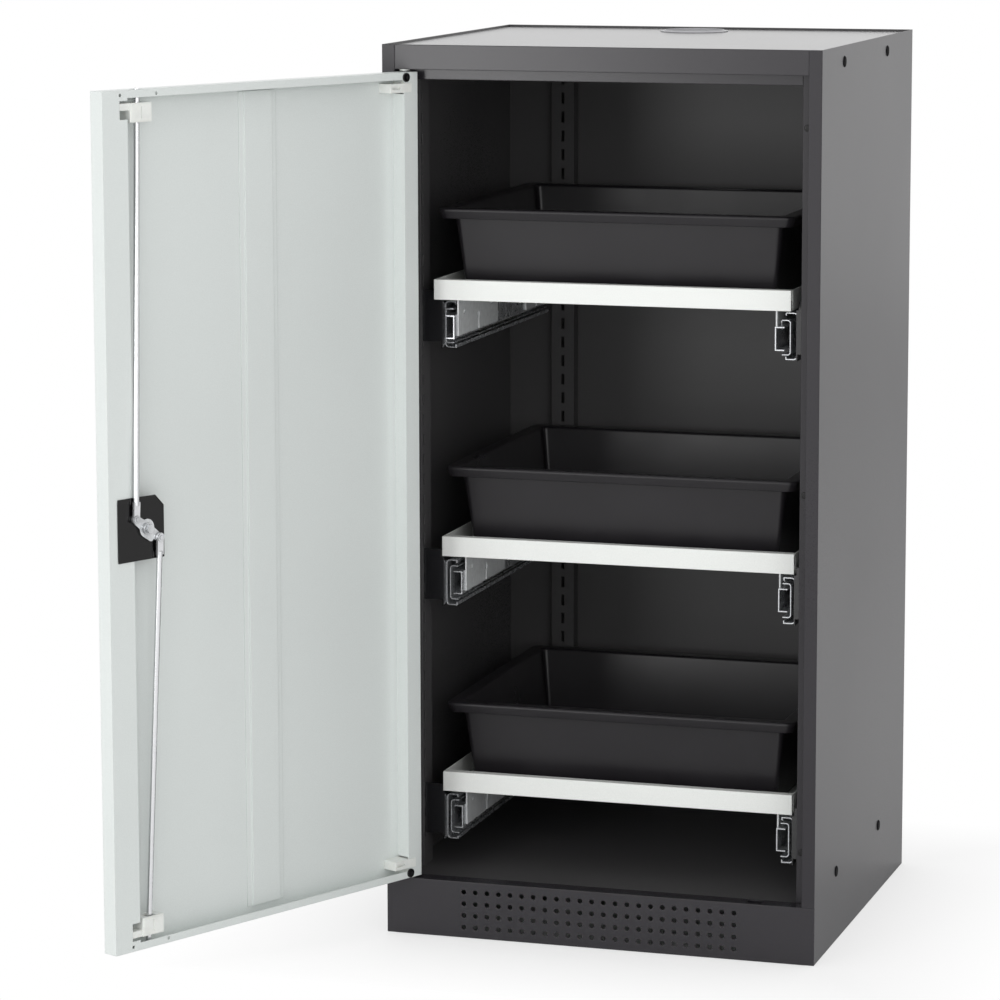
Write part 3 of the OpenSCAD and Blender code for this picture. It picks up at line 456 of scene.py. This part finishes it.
def tray_profile(tall):
    """Inset and height of each ring of a tray that is this tall."""
    slope = math.degrees(math.atan(TAPER / tall))
    skirt_slope = math.degrees(math.atan(SKIRT_LEAN / (LIP_DROP - SKIN)))

    def wall(height, inner=0):
        return LIP + inner + TAPER * (1 - height / tall)

    outside = [(LIP + TAPER + 9, 0)] + roll(wall(4) + 3.9, 4, 4, -90, -slope)
    under = [(wall(tall - SKIN - 1.5), tall - SKIN - 1.5), (LIP - 1.2, tall - SKIN),
             (SKIN + 1.4, tall - SKIN), (SKIN + 0.3, tall - SKIN - 1.2)]
    skirt = [(SKIN + SKIRT_LEAN, tall - LIP_DROP + 0.5), (SKIN + SKIRT_LEAN - 0.5, tall - LIP_DROP),
             (SKIRT_LEAN + 0.5, tall - LIP_DROP), (SKIRT_LEAN, tall - LIP_DROP + 0.5)]
    lip = roll(SKIN, tall - SKIN, SKIN, -skirt_slope, 90) + roll(
        wall(tall, SKIN) - 4, tall - 4, 4, 90, 180 - slope)
    inside = roll(wall(SKIN + 8.4, SKIN) + 9.9, SKIN + 10, 10, -slope, -90, 6)
    return outside + under + skirt + lip + inside + [(LIP + TAPER + 30, SKIN)]


for name in [n for n in nodes if n.startswith("tray_")]:
    low, high = (Vector(corner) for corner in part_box(name))
    rings = []
    for inset, height in tray_profile((high.z - low.z) / MM):
        corner = max(2.5, 12 - 0.26 * inset)
        rings.append(rounded_ring(low, high, inset * MM, low.z + height * MM, corner * MM))
    tray = loft("moulded_" + name, rings)
    tray.data.materials.append(tray_plastic)
    tray.modifiers.new("even", "WEIGHTED_NORMAL").weight = 80
    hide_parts(name)
    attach(tray, name.replace("tray", "drawer"))
    print(tray.name, len(tray.data.polygons), "faces")

# %% [markdown]
# ## Rounded edges
# Sheet steel is folded over a tool with a small radius, and no real edge is perfectly sharp: the
# radius is what catches a thin highlight. A Weld modifier joins the corners that the CAD export
# splits, and a Bevel modifier rounds every edge that turns by more than the given angle.

# %% Soften edges
def soften(node, radius, angle=35, segments=2):
    weld = node.modifiers.new("weld", "WELD")
    weld.merge_threshold = 0.002 * MM
    merge = node.modifiers.new("merge", "DECIMATE")
    merge.decimate_type = "DISSOLVE"
    merge.angle_limit = math.radians(0.5)
    bevel = node.modifiers.new("round", "BEVEL")
    bevel.limit_method = "ANGLE"
    bevel.angle_limit = math.radians(angle)
    bevel.width = radius
    bevel.segments = segments
    bevel.use_clamp_overlap = True
    even = node.modifiers.new("even", "WEIGHTED_NORMAL")
    even.keep_sharp = True


EDGES = {
    "side_panel_left": 0.5, "side_panel_right": 0.5, "header": 0.5, "plinth": 0.3,
    "top_panel": 0.4, "door_pan": 0.5, "door_stiffener": 0.5, "shelf": 0.5,
    "lock_case": 0.6, "rod_guide_top": 0.8, "rod_guide_bottom": 0.8, "hinge_blocks": 0.6,
    "lock_cam": 0.4, "lock_lever": 0.8, "lock_escutcheon": 0.8, "slide_brackets": 0.25,
    "carriers": 0.3, "outer_rails": 0.3, "middle_rails": 0.25, "inner_rails": 0.25,
    "front_uprights": 0.3, "rear_uprights": 0.3, "floor_panel": 0.4, "exhaust_collar": 0.3,
}
for name, node in nodes.items():
    if kind_of(name) in EDGES:
        soften(node, EDGES[kind_of(name)] * MM)
print("rounded", sum(kind_of(n) in EDGES for n in nodes), "nodes")

# %% [markdown]
# ## Floor and background
# A catalogue picture has no horizon. The floor is a large pale plane that is lit as any surface is,
# so it carries the soft shadow under the cabinet. Further out the camera sees it as plain white,
# through a Mix Shader whose share grows with the distance from the cabinet. Under the cabinet that
# share is nothing, so the holes of the plinth look into the dark.

# %% Floor
FLOOR_SIZE = 14
WHITENING = [(0.0, (0, 0, 0, 1)), (0.255, (0, 0, 0, 1)), (0.262, (0.6, 0.6, 0.6, 1)),
             (0.5, (1, 1, 1, 1))]
floor_mesh = bpy.data.meshes.new("floor")
half = FLOOR_SIZE / 2
corners = [(-half, -half, 0), (half, -half, 0), (half, half, 0), (-half, half, 0)]
floor_mesh.from_pydata(corners, [], [(0, 1, 2, 3)])
floor = bpy.data.objects.new("floor", floor_mesh)
floor.location.z = -0.5 * MM
bpy.context.scene.collection.objects.link(floor)
floor_finish = Finish("floor_finish", Base_Color=rgb(250, 250, 250), Roughness=0.7)
place = floor_finish.add("TexCoord", out="Object")
sideways, forwards = (floor_finish.add("SeparateXYZ", out=axis, Vector=place) for axis in "XY")
away = sideways.math("ABSOLUTE").math("MAXIMUM", forwards.math("ABSOLUTE"))
to_camera = floor_finish.add("LightPath", out="Is Camera Ray")
share = floor_finish.add("ValToRGB", {"stops": WHITENING}, Fac=away) * to_camera
plain_white = floor_finish.add("Emission", Color=(1, 1, 1, 1), Strength=1.0)
floor_finish.blend(share, plain_white)
floor_mesh.materials.append(floor_finish.material)

# %% [markdown]
# ## Light
# Most of the light comes evenly from a pale world, as in a white cove. Four large soft lamps shape
# it: one on the right, one behind the camera, one above, and one low on the left that runs a bright
# reflection along the header. The camera and shiny surfaces see the world as plain white.

# %% World
FILL = 0.75
world = bpy.data.worlds.new("studio")
bpy.context.scene.world = world
world.use_nodes = True
sky = world.node_tree
background = sky.nodes["Background"]
path = sky.nodes.new("ShaderNodeLightPath")
seen = Signal(sky, path.outputs["Is Camera Ray"])
for ray in ("Is Glossy Ray", "Is Transmission Ray"):
    seen = seen.math("MAXIMUM", Signal(sky, path.outputs[ray]))
connect(sky, (1, 1, 1, 1), background.inputs["Color"])
connect(sky, seen * (1 - FILL) + FILL, background.inputs["Strength"])


# %% Lamps
def soft_lamp(name, place, target, width, height, power):
    lamp = bpy.data.objects.new(name, bpy.data.lights.new(name, "AREA"))
    lamp.data.shape = "RECTANGLE"
    lamp.data.size = width
    lamp.data.size_y = height
    lamp.data.energy = power
    lamp.location = place
    lamp.rotation_euler = (Vector(target) - lamp.location).to_track_quat("-Z", "Y").to_euler()
    bpy.context.scene.collection.objects.link(lamp)
    return lamp


soft_lamp("right_softbox", (2.4, -4.4, 1.5), (-0.1, 0, 0.55), 1.8, 2.0, 26)
soft_lamp("front_softbox", (0.3, -5.2, 2.4), (0, -0.2, 0.6), 2.6, 1.4, 10)
soft_lamp("left_softbox", (-1.9, -4.5, 0.95), (0, -0.2, 0.8), 1.35, 1.7, 38)
soft_lamp("top_softbox", (0.2, 0.4, 3.4), (0, 0, 0.8), 2.6, 2.6, 14)

# %% [markdown]
# ## Finish
# The standard view transform shows each colour as it is written.

# %% View
bpy.context.scene.view_settings.view_transform = "Standard"
bpy.context.view_layer.update()
